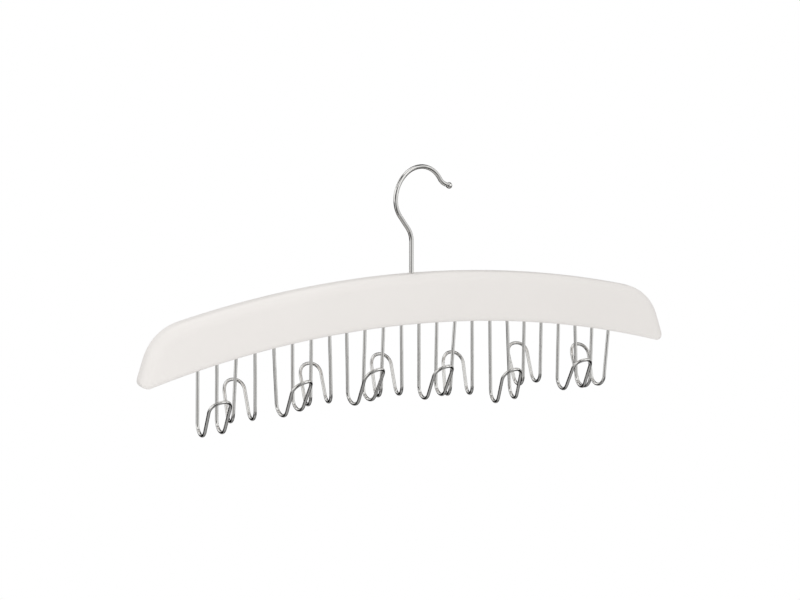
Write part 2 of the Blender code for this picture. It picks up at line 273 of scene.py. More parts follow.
# %% [markdown]
# ## The bar's size and place
#
# Lengths are in metres. The bar lies along X with its front towards -Y, and the origin is on the axis
# that it turns about, at the inside of the hook's loop. Each fine piece has its solid's sizes, so that
# it fits over it. The hook's loop decides how far below the origin the bar hangs, so its sizes are
# needed here as well.

# %% Sizes of the bar
BAR_LENGTH = 0.4426              # between the two end corners, before they are rounded
BAR_DEPTH = 0.038                # from the crown to the underside, at the middle
BAR_THICKNESS = 0.020
TOP_ARC_RADIUS = 0.782
UNDERSIDE_ARC_RADIUS = 0.757
END_LEAN = math.radians(18.4)    # how far the slanted ends lean from upright
SHOULDER_RADIUS = 0.0384         # where the top turns down into the end
TIP_RADIUS = 0.0048              # the lowest corner of each end
CROWN_ROUNDING = 0.0075          # the router's round along the top and the ends
UNDERSIDE_ROUNDING = 0.0035      # the smaller round along the underside
SHARPEST_CORNER = 0.0003         # a corner drawn in past its own radius keeps this one
HALF_LENGTH = BAR_LENGTH / 2
print("the bar's end corners lie", round(BAR_LENGTH * 1000, 1), "mm apart")

# %% Sizes of the hook's loop, and the bar's height below it
SWIVEL_WIRE = 0.0034             # diameter
LOOP_RADIUS = 0.0238             # to the middle of the wire
LOOP_CENTRE_HEIGHT = 0.0568      # above the bar's crown
LOOP_OFFSET = 0.0082             # from the shank's axis to the loop's centre
CROWN_Z = -(LOOP_CENTRE_HEIGHT + math.sqrt((LOOP_RADIUS - SWIVEL_WIRE / 2) ** 2 - LOOP_OFFSET ** 2))
TOP_ARC_CENTRE_Z = CROWN_Z - TOP_ARC_RADIUS
UNDERSIDE_ARC_CENTRE_Z = CROWN_Z - BAR_DEPTH - UNDERSIDE_ARC_RADIUS


def underside_z(x):
    return UNDERSIDE_ARC_CENTRE_Z + math.sqrt(UNDERSIDE_ARC_RADIUS ** 2 - x ** 2)


print("the bar's crown lies", round(-CROWN_Z * 1000, 1), "mm below the origin")

# %% [markdown]
# ## The bar
#
# The real bar is sawn to an arched outline and run past a router, which leaves a wide round along the
# crown and the ends and a smaller one along the underside. It could be a curve with a bevel, but that
# has one round for the whole outline. So the outline is drawn layer by layer through the thickness, each
# layer drawn in by what the two rounds take off there, and the layers are bridged.

# %% The bar's outline
TOP_STEPS = 60
SHOULDER_STEPS = 24
TIP_STEPS = 14
UNDERSIDE_STEPS = 60


def arc_points(centre, radius, start, end, steps):
    angles = [start + (end - start) * i / steps for i in range(steps + 1)]
    return [(centre[0] + radius * math.cos(a), centre[1] + radius * math.sin(a)) for a in angles]


def corner_centre(inset, arc_centre_z, arc_distance):
    """The point that lies inset from the slanted end and at a distance from an arc's centre."""
    normal = (math.cos(END_LEAN), math.sin(END_LEAN))
    upward = (-math.sin(END_LEAN), math.cos(END_LEAN))
    start_x = HALF_LENGTH - normal[0] * inset
    start_z = underside_z(HALF_LENGTH) - normal[1] * inset
    above = start_z - arc_centre_z
    along = start_x * upward[0] + above * upward[1]
    travel = -along + math.sqrt(along ** 2 - (start_x ** 2 + above ** 2 - arc_distance ** 2))
    return (start_x + upward[0] * travel, start_z + upward[1] * travel)


def bar_ring(edge_inset, base_inset):
    """The outline, drawn in by one distance along the top and the ends and by another below."""
    top_radius = TOP_ARC_RADIUS - edge_inset
    base_radius = UNDERSIDE_ARC_RADIUS + base_inset
    shoulder = max(SHOULDER_RADIUS - edge_inset, SHARPEST_CORNER)
    tip = max(TIP_RADIUS - (edge_inset + base_inset) / 2, SHARPEST_CORNER)
    shoulder_centre = corner_centre(edge_inset + shoulder, TOP_ARC_CENTRE_Z, top_radius - shoulder)
    tip_centre = corner_centre(edge_inset + tip, UNDERSIDE_ARC_CENTRE_Z, base_radius + tip)
    top_end = math.atan2(shoulder_centre[1] - TOP_ARC_CENTRE_Z, shoulder_centre[0])
    base_start = math.atan2(tip_centre[1] - UNDERSIDE_ARC_CENTRE_Z, tip_centre[0])
    upright = math.pi / 2
    top = arc_points((0, TOP_ARC_CENTRE_Z), top_radius, upright, top_end, TOP_STEPS)
    shoulder_arc = arc_points(shoulder_centre, shoulder, top_end, END_LEAN, SHOULDER_STEPS)
    tip_arc = arc_points(tip_centre, tip, END_LEAN, base_start - math.pi, TIP_STEPS)
    base = arc_points((0, UNDERSIDE_ARC_CENTRE_Z), base_radius, base_start, upright, UNDERSIDE_STEPS)
    half = top[:-1] + shoulder_arc + tip_arc[:-1] + base
    return half + [(-x, z) for x, z in reversed(half[1:-1])]


print("the outline has", len(bar_ring(0, 0)), "points")

# %% Layers through the thickness
ROUNDING_STEPS = 14
FACE_MARGIN = 0.001    # a narrow flat strip inside the rounds keeps the broad face's shading even


def rounding_inset(radius, y):
    into_round = min(max(y - (BAR_THICKNESS / 2 - radius), 0), radius)
    return radius - math.sqrt(radius ** 2 - into_round ** 2)


def bar_layers():
    """Each layer's distance from the middle plane, and its insets at the edge and at the underside."""
    flat_half = BAR_THICKNESS / 2 - CROWN_ROUNDING
    turns = [math.pi / 2 * i / ROUNDING_STEPS for i in range(ROUNDING_STEPS + 1)]
    half = []
    for y in [flat_half + CROWN_ROUNDING * math.sin(turn) for turn in turns]:
        half.append((y, rounding_inset(CROWN_ROUNDING, y), rounding_inset(UNDERSIDE_ROUNDING, y)))
    y, edge_inset, base_inset = half[-1]
    half.append((y, edge_inset + FACE_MARGIN, base_inset + FACE_MARGIN))
    return list(reversed(half)) + [(-y, edge, base) for y, edge, base in half]


print("the bar has", len(bar_layers()), "layers")

# %% Helpers for meshes
SHARP_ANGLE = math.radians(35)    # edges sharper than this stay crisp where the rest is shaded smooth


def bridge_rings(bm, rings, closed_loop=False):
    """Joins each ring of points to the next, and caps both ends unless the rings go round."""
    next_rings = rings[1:] + rings[:1] if closed_loop else rings[1:]
    for ring, next_ring in zip(rings, next_rings):
        for i in range(len(ring)):
            j = (i + 1) % len(ring)
            bm.faces.new((ring[i], ring[j], next_ring[j], next_ring[i]))
    if not closed_loop:
        bm.faces.new(rings[0])
        bm.faces.new(rings[-1])


def finish_mesh(name, bm, material, sharp_angle=SHARP_ANGLE):
    bmesh.ops.recalc_face_normals(bm, faces=bm.faces)
    mesh = bpy.data.meshes.new(name)
    bm.to_mesh(mesh)
    bm.free()
    mesh.materials.append(material)
    mesh.shade_smooth()
    mesh.set_sharp_from_angle(angle=sharp_angle)
    piece = bpy.data.objects.new(name, mesh)
    bpy.context.scene.collection.objects.link(piece)
    return piece


def settle(piece):
    """Turns what the modifiers make into the piece's own plain mesh."""
    bpy.context.view_layer.update()
    seen = piece.evaluated_get(bpy.context.evaluated_depsgraph_get())
    mesh = bpy.data.meshes.new_from_object(seen)
    piece.modifiers.clear()
    piece.data = mesh
    return piece


print("helpers for meshes are ready")

# %% Make the bar
def make_bar():
    bm = bmesh.new()
    rings = []
    for y, edge_inset, base_inset in bar_layers():
        rings.append([bm.verts.new((x, y, z)) for x, z in bar_ring(edge_inset, base_inset)])
    bridge_rings(bm, rings)
    return finish_mesh("wooden_bar", bm, lacquer)


wooden_bar = make_bar()
print("uncut bar:", len(wooden_bar.data.polygons), "faces")

# %% [markdown]
# ## Where the belt hooks go
#
# The belt hooks are bent and pressed in by hand, so each stands a little differently. A row of this
# table gives, in millimetres, a hook's drop below the underside, how much higher its right bend hangs
# than its left one, how far its holes are off their even pitch, how far it swings sideways and how much
# wider its bends stand than its holes. Then, in degrees, come its turn about the upright, the lean of
# its prongs and how far each prong turns outward from its leg. The rows run from the left end, front and
# back in turn.

# %% How each belt hook stands
BELT_WIRE = 0.0025               # diameter
WIRE_PITCH = 0.015               # from one drilled hole to the next
MILLIMETRE = 0.001
HOOK_SETTINGS = (
    # drop, tilt, shift, swing, flare, turn, lean, splay
    (49.9, 0.9, -0.4, -0.9, 0.1, 2, 27, 1),
    (52.1, 0.1, -0.2, -1.8, 2.7, 3, 31, -1),
    (51.1, 3.1, -0.2, 0.8, -2.2, 9, 29, 1),
    (53.5, 0.6, -0.1, 0.0, 2.0, 5, 32, 0),
    (54.3, 2.1, -1.1, -0.6, -2.3, 11, 26, 1),
    (56.2, -0.3, -0.8, -1.0, 2.8, 5, 28, -1),
    (56.9, 1.5, -1.0, -0.5, -0.8, 3, 29, 0),
    (59.8, -1.1, -0.7, -1.8, 4.3, 9, 25, -1),
    (61.9, 1.6, -0.4, 2.0, 1.7, -5, 27, -1),
    (50.7, 1.1, -0.5, -0.5, 0.1, 0, 28, 1),
    (49.5, 0.3, -0.2, 0.7, 2.3, -1, 31, -2),
    (47.1, 0.2, -0.1, -2.5, -2.6, -10, 22, 1),
)
HOOK_COUNT = len(HOOK_SETTINGS)
SHIFT_COLUMN = 2
LENGTH_COLUMNS = 5               # the columns after these are angles


def hook_middle(index):
    even_place = (index - (HOOK_COUNT - 1) / 2) * 2 * WIRE_PITCH
    return even_place + HOOK_SETTINGS[index][SHIFT_COLUMN] * MILLIMETRE


first, last = hook_middle(0), hook_middle(HOOK_COUNT - 1)
print(HOOK_COUNT, "belt hooks, from x =", round(first, 4), "to", round(last, 4))

# %% [markdown]
# ## The holes
#
# The wires are pressed into drilled holes, and the hook's shank turns in a bore with a counterbore below
# it, which holds the washer and the shank's head. A Boolean cuts them all at once: the cutters are
# turned shapes, joined in one object.

# %% Sizes of the holes
HOLE_DEPTH = 0.018
LEG_CLEARANCE = 0.00006          # keeps the cut just off a leg's own surface
CONTACT_GAP = 0.0003             # between pieces that bear on each other
COUNTERBORE_DEPTH = 0.008
COUNTERBORE_GAP = 0.0005         # round the washer
WASHER_RADIUS = 0.0037
COUNTERBORE_TOP_Z = underside_z(0) + COUNTERBORE_DEPTH
LEG_HOLE_RADIUS = BELT_WIRE / 2 + LEG_CLEARANCE
BORE_RADIUS = SWIVEL_WIRE / 2 + CONTACT_GAP
CUT_MARGIN = 0.004               # how far a cutter runs out past the wood
LEG_HOLE_SIDES = 24
BORE_SIDES = 48
print("legs go", HOLE_DEPTH * 1000, "mm into the wood")

# %% Make the cutter
def add_turned(bm, x, profile, sides, closed_loop=False):
    """A turned shape about an upright axis at x, from a profile of radius and height."""
    rings = []
    for radius, z in profile:
        angles = [2 * math.pi * i / sides for i in range(sides)]
        rings.append([bm.verts.new((x + radius * math.cos(a), radius * math.sin(a), z)) for a in angles])
    bridge_rings(bm, rings, closed_loop)


def make_hole_cutter():
    bm = bmesh.new()
    for index in range(HOOK_COUNT):
        middle = hook_middle(index)
        top = underside_z(middle) + HOLE_DEPTH
        for x in (middle - WIRE_PITCH / 2, middle + WIRE_PITCH / 2):
            low = underside_z(x) - CUT_MARGIN
            add_turned(bm, x, [(LEG_HOLE_RADIUS, low), (LEG_HOLE_RADIUS, top)], LEG_HOLE_SIDES)
    wide = WASHER_RADIUS + COUNTERBORE_GAP
    low = underside_z(0) - CUT_MARGIN
    add_turned(bm, 0, [(wide, low), (wide, COUNTERBORE_TOP_Z), (BORE_RADIUS, COUNTERBORE_TOP_Z),
                       (BORE_RADIUS, CROWN_Z + CUT_MARGIN)], BORE_SIDES)
    return finish_mesh("hole_cutter", bm, lacquer)


hole_cutter = make_hole_cutter()
print("cutter:", len(hole_cutter.data.polygons), "faces")

# %% Cut the bar
MERGE_DISTANCE = 0.000001    # a cut that meets a seam leaves points this near to each other

cut = wooden_bar.modifiers.new("holes", "BOOLEAN")
cut.operation = "DIFFERENCE"
cut.solver = "EXACT"
cut.object = hole_cutter
settle(wooden_bar)
bpy.data.objects.remove(hole_cutter, do_unlink=True)
cut_mesh = bmesh.new()
cut_mesh.from_mesh(wooden_bar.data)
bmesh.ops.remove_doubles(cut_mesh, verts=cut_mesh.verts, dist=MERGE_DISTANCE)
cut_mesh.to_mesh(wooden_bar.data)
cut_mesh.free()
wooden_bar.data.shade_smooth()
wooden_bar.data.set_sharp_from_angle(angle=SHARP_ANGLE)
print("bar:", len(wooden_bar.data.polygons), "faces")

# %% [markdown]
# ## Bent wires
#
# Every wire is a round section that follows a path. Each could be a curve with a bevel of its own, but
# one Geometry Nodes tree makes them all alike. A path is a string of points, each with its own radius,
# which lets the same tree form the ball on the hook's tip and the head on its shank. The tree sweeps a
# circle along the path, and a very small waviness keeps the wires from looking ruled.

# %% The wire tree
WAVES_PER_METRE = 45.0
NOISE_MIDDLE = (0.5, 0.5, 0.5)


def make_wire_tree():
    tree = bpy.data.node_groups.new("Bent wire", "GeometryNodeTree")
    tree.interface.new_socket("Path", in_out="INPUT", socket_type="NodeSocketGeometry")
    given = add_group_inputs(tree, (("Sides", "NodeSocketInt", 24), ("Waviness", "NodeSocketFloat", 0.0),
                                    ("Seed", "NodeSocketFloat", 0.0)))
    tree.interface.new_socket("Finish", in_out="INPUT", socket_type="NodeSocketMaterial")
    tree.interface.new_socket("Wire", in_out="OUTPUT", socket_type="NodeSocketGeometry")
    path = add_node(tree, "GeometryNodeMeshToCurve")
    set_inputs(tree, path, {"Mesh": given.outputs["Path"]})
    noise = add_node(tree, "ShaderNodeTexNoise", "waves", noise_dimensions="4D")
    set_inputs(tree, noise, {"W": given.outputs["Seed"], "Scale": WAVES_PER_METRE, "Detail": 1.0})
    centred = add_node(tree, "ShaderNodeVectorMath", "centre", operation="SUBTRACT")
    set_inputs(tree, centred, {0: noise.outputs["Color"], 1: NOISE_MIDDLE})
    offset = add_node(tree, "ShaderNodeVectorMath", "size", operation="SCALE")
    set_inputs(tree, offset, {0: centred.outputs[0], "Scale": given.outputs["Waviness"]})
    waved = add_node(tree, "GeometryNodeSetPosition")
    set_inputs(tree, waved, {"Geometry": path.outputs["Curve"], "Offset": offset.outputs[0]})
    thickness = add_node(tree, "GeometryNodeInputNamedAttribute", data_type="FLOAT")
    set_inputs(tree, thickness, {"Name": "thickness"})
    ring = add_node(tree, "GeometryNodeCurvePrimitiveCircle")
    set_inputs(tree, ring, {"Resolution": given.outputs["Sides"], "Radius": 1.0})
    swept = add_node(tree, "GeometryNodeCurveToMesh")
    set_inputs(tree, swept, {"Curve": waved.outputs[0], "Profile Curve": ring.outputs["Curve"],
                             "Scale": thickness.outputs["Attribute"], "Fill Caps": True})
    smooth = add_node(tree, "GeometryNodeSetShadeSmooth")
    set_inputs(tree, smooth, {"Geometry": swept.outputs[0]})
    real = add_node(tree, "GeometryNodeRealizeInstances")
    set_inputs(tree, real, {"Geometry": smooth.outputs[0]})
    coated = add_node(tree, "GeometryNodeSetMaterial")
    set_inputs(tree, coated, {"Geometry": real.outputs[0], "Material": given.outputs["Finish"]})
    result = add_node(tree, "NodeGroupOutput")
    set_inputs(tree, result, {"Wire": coated.outputs[0]})
    return tree


wire_tree = make_wire_tree()
print("made the tree", wire_tree.name)

# %% [markdown]
# A wire starts as a bare path of points. The tree's inputs are set by their identifiers before the wire
# is first looked at, and its result then becomes the wire's own mesh.

# %% Make one wire
def make_wire(name, points, radii, sides, waviness, seed):
    path = bpy.data.meshes.new(name)
    path.from_pydata(points, [(i, i + 1) for i in range(len(points) - 1)], [])
    path.attributes.new("thickness", "FLOAT", "POINT").data.foreach_set("value", radii)
    wire = bpy.data.objects.new(name, path)
    bpy.context.scene.collection.objects.link(wire)
    sweep = wire.modifiers.new("sweep", "NODES")
    sweep.node_group = wire_tree
    values = {"Sides": sides, "Waviness": waviness, "Seed": seed, "Finish": chrome}
    for item in wire_tree.interface.items_tree:
        if item.in_out == "INPUT" and item.name in values:
            sweep[item.identifier] = values[item.name]
    settle(wire)
    if "thickness" in wire.data.attributes:
        wire.data.attributes.remove(wire.data.attributes["thickness"])
    wire.data.set_sharp_from_angle(angle=SHARP_ANGLE)
    return wire


print("the wire tree has", len(wire_tree.nodes), "nodes")

# %% [markdown]
# ## The swivel hook
#
# One wire makes the whole hook. From its upset head, hidden in the counterbore, the shank rises through
# the bore, leans over, and runs round the loop to a ball that keeps the tip from snagging. A curve drawn
# by hand could follow it, but such a wire is bent round rollers, so the path is a chain of arcs that run
# into each other without a kink. It is drawn flat, as the distance across from the shank and the height,
# and then turned to the hook's own plane.

# %% The bends of the swivel hook
WAIST_START = math.radians(12)          # above the loop's middle, where it tightens into the waist
WAIST_RADIUS = 0.0211                   # the bend that leads in under the loop
NECK_LEAN = math.radians(37.8)          # the sloping straight between the loop and the shank
NECK_RADIUS = 0.0167                    # the bend from that straight into the shank
TIP_BEND_START = math.radians(32.5)     # above the loop's middle, where it ends
TIP_BEND_RADIUS = 0.0115
TIP_BEND_TURN = math.radians(39.2)
BEND_STEP = math.radians(2)
FEWEST_BEND_STEPS = 4


def bend(centre, radius, start, end):
    steps = max(FEWEST_BEND_STEPS, math.ceil(abs(end - start) / BEND_STEP))
    return arc_points(centre, radius, start, end, steps)


def swivel_outline():
    """The hook's wire from the shank's upper end to where the ball's neck begins."""
    loop_centre = (LOOP_OFFSET, CROWN_Z + LOOP_CENTRE_HEIGHT)
    loop_end = math.pi - WAIST_START
    reach = LOOP_RADIUS - WAIST_RADIUS
    waist_centre = (loop_centre[0] + reach * math.cos(loop_end),
                    loop_centre[1] + reach * math.sin(loop_end))
    waist = bend(waist_centre, WAIST_RADIUS, math.pi + NECK_LEAN, loop_end)
    neck_across = -NECK_RADIUS * (1 - math.cos(NECK_LEAN))
    slope = (neck_across - waist[0][0]) / math.sin(NECK_LEAN)
    neck_top = waist[0][1] - slope * math.cos(NECK_LEAN)
    neck_centre = (-NECK_RADIUS, neck_top - NECK_RADIUS * math.sin(NECK_LEAN))
    neck = bend(neck_centre, NECK_RADIUS, 0, NECK_LEAN)
    loop = bend(loop_centre, LOOP_RADIUS, loop_end, TIP_BEND_START)
    reach = LOOP_RADIUS + TIP_BEND_RADIUS
    tip_centre = (loop_centre[0] + reach * math.cos(TIP_BEND_START),
                  loop_centre[1] + reach * math.sin(TIP_BEND_START))
    tip_start = math.pi + TIP_BEND_START
    tip = bend(tip_centre, TIP_BEND_RADIUS, tip_start, tip_start + TIP_BEND_TURN)
    return neck + waist + loop[1:] + tip[1:]


print("the bends have", len(swivel_outline()), "points")

# %% The head and the ball
WASHER_THICKNESS = 0.001
WASHER_BOTTOM_Z = COUNTERBORE_TOP_Z - CONTACT_GAP - WASHER_THICKNESS
HEAD_TOP_Z = WASHER_BOTTOM_Z - CONTACT_GAP
HEAD_RADIUS = 0.0029
HEAD_HEIGHT = 0.0016
HEAD_EDGE = 0.0003               # the small round on the head's edges
HEAD_EDGE_STEPS = 6
SHANK_STEP = 0.00001             # the shank's radius takes over this far above the head
BALL_RADIUS = 0.0025
BALL_NECK_RADIUS = 0.0013
BALL_NECK_LENGTH = 0.0012
BALL_END = math.pi * 0.985       # the ball stops short of its pole, on a tiny flat
BALL_STEPS = 24


def head_profile():
    """The shank's head, as height and radius, from its lowest point up."""
    turns = [math.pi / 2 * i / HEAD_EDGE_STEPS for i in range(HEAD_EDGE_STEPS + 1)]
    edge = [(HEAD_EDGE * (1 - math.sin(turn)), HEAD_EDGE * (1 - math.cos(turn))) for turn in turns]
    low = HEAD_TOP_Z - HEAD_HEIGHT
    lower = [(low + rise, HEAD_RADIUS - inset) for rise, inset in reversed(edge)]
    upper = [(HEAD_TOP_Z - rise, HEAD_RADIUS - inset) for rise, inset in edge]
    return lower + upper + [(HEAD_TOP_Z + SHANK_STEP, SWIVEL_WIRE / 2)]


def ball_profile():
    """The ball on the hook's tip, as the distance along the wire and the radius."""
    middle = BALL_NECK_LENGTH + math.sqrt(BALL_RADIUS ** 2 - BALL_NECK_RADIUS ** 2)
    start = math.asin(BALL_NECK_RADIUS / BALL_RADIUS)
    angles = [start + (BALL_END - start) * i / BALL_STEPS for i in range(BALL_STEPS + 1)]
    return [(middle - BALL_RADIUS * math.cos(a), BALL_RADIUS * math.sin(a)) for a in angles]


print("the head's top lies", round((HEAD_TOP_Z - underside_z(0)) * 1000, 1), "mm inside the wood")

# %% Make the swivel hook
HOOK_TURN = math.radians(15)     # the hook's plane, turned from the bar's
SWIVEL_SIDES = 40


def make_swivel_hook():
    wire = SWIVEL_WIRE / 2
    line = [(0, z, radius) for z, radius in head_profile()]
    line += [(across, z, wire) for across, z in swivel_outline()]
    (before_x, before_z, _), (end_x, end_z, _) = line[-2:]
    length = math.hypot(end_x - before_x, end_z - before_z)
    ahead = ((end_x - before_x) / length, (end_z - before_z) / length)
    for distance, radius in ball_profile():
        line.append((end_x + ahead[0] * distance, end_z + ahead[1] * distance, radius))
    points = [(across * math.cos(HOOK_TURN), across * math.sin(HOOK_TURN), z) for across, z, _ in line]
    radii = [radius for _, _, radius in line]
    return make_wire("swivel_wire", points, radii, SWIVEL_SIDES, waviness=0.0, seed=0.0)


swivel_wire = make_swivel_hook()
print("swivel hook:", len(swivel_wire.data.polygons), "faces")

# %% [markdown]
# ## The washer
#
# Under the bar, the hook's head bears on a small steel washer, with edges rounded by stamping. It could
# be a plain ring with a Bevel, but the helper for turned shapes is there already, so its section is a
# small loop of points carried once round the axis.

# %% Make the washer
WASHER_EDGE = WASHER_THICKNESS * 0.25
WASHER_EDGE_STEPS = 5
WASHER_SIDES = 64
WASHER_SHARP_ANGLE = math.radians(50)


def make_washer():
    inner, outer = BORE_RADIUS + WASHER_EDGE, WASHER_RADIUS - WASHER_EDGE
    low, high = WASHER_BOTTOM_Z + WASHER_EDGE, WASHER_BOTTOM_Z + WASHER_THICKNESS - WASHER_EDGE
    corners = ((inner, low, math.pi), (outer, low, 1.5 * math.pi), (outer, high, 0),
               (inner, high, 0.5 * math.pi))
    section = []
    for radius, z, start in corners:
        section += arc_points((radius, z), WASHER_EDGE, start, start + math.pi / 2, WASHER_EDGE_STEPS)
    bm = bmesh.new()
    add_turned(bm, 0, section, WASHER_SIDES, closed_loop=True)
    return finish_mesh("steel_washer", bm, plain_steel, WASHER_SHARP_ANGLE)


steel_washer = make_washer()
print("washer:", len(steel_washer.data.polygons), "faces")

# %% [markdown]
# ## The belt hooks
#
# Each belt hook is one wire: a leg down, a J bend, a prong up, an arch over to the second prong, and the
# same way back. So one half is drawn and mirrored. Twelve copies of one hook would be quicker, but in
# the photograph no two hang alike. So the same half serves all twelve, and the table above gives each
# its own drop, tilt, shift, swing, flare, turn, lean and splay.

# %% One half of a belt hook
LEG_EXIT = 0.002                 # how far a leg runs straight on below its hole
LEG_EXIT_STEP = 0.001            # one more point this far above the end of that run
LEG_STEPS = 8
J_BEND_RADIUS = 0.0080           # to the middle of the wire
J_BEND_STEPS = 40
PRONG_LENGTH = 0.0180            # straight rising part, from the bend to the arch
PRONG_STEPS = 10
ARCH_WIDTH = 0.0155              # between the two prongs, where the arch begins
ARCH_HEIGHT = 0.0099             # measured along the wire's slope
ARCH_CURL = math.radians(25)     # how far the arch curls away from the bar
ARCH_STEPS = 32


def belt_hook_half(drop, lean):
    """The right half, from its hole to the arch's middle: across, outward and up from the hole."""
    leg_x = WIRE_PITCH / 2
    bend_z = J_BEND_RADIUS - drop
    half = [(leg_x, 0, HOLE_DEPTH - CONTACT_GAP), (leg_x, 0, -LEG_EXIT + LEG_EXIT_STEP),
            (leg_x, 0, -LEG_EXIT)]
    straight = bend_z + LEG_EXIT
    half += [(leg_x, 0, -LEG_EXIT + straight * i / LEG_STEPS) for i in range(1, LEG_STEPS)]
    turn = math.pi - lean
    for i in range(J_BEND_STEPS + 1):
        angle = turn * i / J_BEND_STEPS
        half.append((leg_x, J_BEND_RADIUS * (1 - math.cos(angle)),
                     bend_z - J_BEND_RADIUS * math.sin(angle)))
    _, bend_out, bend_end_z = half[-1]
    arch_out = bend_out + PRONG_LENGTH * math.sin(lean)
    arch_z = bend_end_z + PRONG_LENGTH * math.cos(lean)
    for i in range(1, PRONG_STEPS):
        share = i / PRONG_STEPS
        half.append((leg_x + (ARCH_WIDTH / 2 - leg_x) * share, bend_out + (arch_out - bend_out) * share,
                     bend_end_z + (arch_z - bend_end_z) * share))
    curl_radius = ARCH_HEIGHT / ARCH_CURL
    for i in range(ARCH_STEPS + 1):
        angle = math.pi / 2 * i / ARCH_STEPS
        slope = lean + ARCH_CURL * math.sin(angle)
        half.append((ARCH_WIDTH / 2 * math.cos(angle),
                     arch_out + curl_radius * (math.cos(lean) - math.cos(slope)),
                     arch_z + curl_radius * (math.sin(slope) - math.sin(lean))))
    return half


print("half a belt hook has", len(belt_hook_half(drop=0.05, lean=math.radians(27))), "points")

# %% Make the belt hooks
BELT_SIDES = 24
WAVINESS = 0.0003
SEED_STEP = 3.7


def belt_hook_points(index):
    """The half and its mirror image, set as the hook's row of the table says."""
    drop, tilt, _, swing, flare = [value * MILLIMETRE for value in HOOK_SETTINGS[index][:LENGTH_COLUMNS]]
    yaw, lean, splay = [math.radians(value) for value in HOOK_SETTINGS[index][LENGTH_COLUMNS:]]
    outward = -1 if index % 2 == 0 else 1
    half = belt_hook_half(drop, lean)
    middle = hook_middle(index)
    points = []
    for x, out, z in [(-x, out, z) for x, out, z in half] + half[-2::-1]:
        share = x / WIRE_PITCH
        turn = yaw + 2 * share * splay
        below = min(max(-z - LEG_EXIT, 0) / (drop - LEG_EXIT), 1)
        rise = tilt * share * min(max((-z - LEG_EXIT) / LEG_EXIT, 0), 1)
        sideways = out * math.sin(turn) + (swing + share * flare) * below
        points.append((middle + x + sideways, outward * out * math.cos(turn),
                       underside_z(middle) + z + rise))
    return points


belt_hooks = []
for index in range(HOOK_COUNT):
    place = f"{'front' if index % 2 == 0 else 'back'}_{index // 2 + 1}"
    points = belt_hook_points(index)
    radii = [BELT_WIRE / 2] * len(points)
    wire = make_wire(f"belt_wire_{place}", points, radii, BELT_SIDES, WAVINESS, index * SEED_STEP)
    belt_hooks.append((wire, f"belt_hook_{place}"))
print("belt hooks:", len(belt_hooks), "with", len(belt_hooks[0][0].data.polygons), "faces each")

# %% [markdown]
# ## What each piece stands for
#
# Every fine piece hides its plain solid and moves with that solid's body.

# %% Tie the pieces to the model
def dress(piece, node, body):
    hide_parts(node)
    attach(piece, body)


dress(wooden_bar, "bar", "hanger")
dress(swivel_wire, "swivel_hook", "hook")
dress(steel_washer, "hook_washer", "hanger")
for wire, node in belt_hooks:
    dress(wire, node, "hanger")
print("dressed", len([wooden_bar, swivel_wire, steel_washer, *belt_hooks]), "pieces")

# %% [markdown]
# ## The studio
#
# The photograph is a cut-out on pure white. The lacquer wants even light, but chrome shows what stands
# round it, and the crisp streaks in each bend ask for bright walls at both sides, a dark patch where
# the camera stands and a dark floor. Walls could stand round the object as planes, but a card in the
# sky takes no room, casts no shadow and is moved by two angles. So the world is built twice from soft
# cards, each a patch of the sky round one direction: an even world, and one that only mirrors see. A
# card with a strength below zero takes light away. The camera itself sees plain white.

# %% A soft card
def make_card_group():
    tree = bpy.data.node_groups.new("Soft card", "ShaderNodeTree")
    given = add_group_inputs(tree, (("Direction", "NodeSocketVector", (0, 0, 1)),
                                    ("Facing", "NodeSocketVector", (0, 0, 1)),
                                    ("Edge", "NodeSocketFloat", 0.7),
                                    ("Softness", "NodeSocketFloat", 0.1),
                                    ("Strength", "NodeSocketFloat", 1.0)))
    tree.interface.new_socket("Light", in_out="OUTPUT", socket_type="NodeSocketFloat")
    toward = add_node(tree, "ShaderNodeVectorMath", "how near to the card", operation="DOT_PRODUCT")
    set_inputs(tree, toward, {0: given.outputs["Direction"], 1: given.outputs["Facing"]})
    low = add_node(tree, "ShaderNodeMath", operation="SUBTRACT")
    set_inputs(tree, low, {0: given.outputs["Edge"], 1: given.outputs["Softness"]})
    high = add_node(tree, "ShaderNodeMath", operation="ADD")
    set_inputs(tree, high, {0: given.outputs["Edge"], 1: given.outputs["Softness"]})
    patch = add_node(tree, "ShaderNodeMapRange", interpolation_type="SMOOTHSTEP")
    set_inputs(tree, patch, {"Value": toward.outputs["Value"], "From Min": low.outputs[0],
                             "From Max": high.outputs[0]})
    bright = add_node(tree, "ShaderNodeMath", operation="MULTIPLY")
    set_inputs(tree, bright, {0: patch.outputs[0], 1: given.outputs["Strength"]})
    result = add_node(tree, "NodeGroupOutput")
    set_inputs(tree, result, {"Light": bright.outputs[0]})
    return tree


card_group = make_card_group()
print("made the group", card_group.name)

